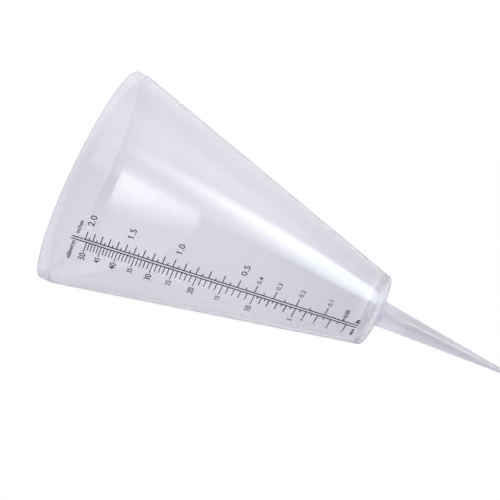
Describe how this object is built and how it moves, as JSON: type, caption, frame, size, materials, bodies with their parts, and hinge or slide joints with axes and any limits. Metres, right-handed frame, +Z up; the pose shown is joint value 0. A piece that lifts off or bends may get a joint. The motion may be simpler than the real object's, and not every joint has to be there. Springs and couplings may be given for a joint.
{
  "type": "rain gauge",
  "caption": "Translucent conical rain gauge with a straight band at its mouth and a printed millimetre and inch scale, lifted off a pointed cross-bladed ground spike.",
  "frame": {"origin": "on the axis, at the underside of the cone's floor, which is the soil line", "axes": "+Z up along the axis, from the spike towards the mouth; -Y towards the printed scale; +X to the right when the scale is read"},
  "size_m": [0.096, 0.096, 0.202],
  "materials": {
    "cone_plastic": "translucent, faintly frosted moulded plastic",
    "spike_plastic": "translucent moulded plastic",
    "scale_ink": "printed ink"
  },
  "bodies": {
    "spike": {"ground_spike": "spike_plastic"},
    "cone": {"measuring_cone": "cone_plastic", "millimetre_scale": "scale_ink", "inch_scale": "scale_ink"}
  },
  "joints": [
    {"name": "cone_lift", "type": "slide", "parent": "spike", "child": "cone", "axis": [0, 0, 1], "range_m": [0, 0.03]}
  ]
}
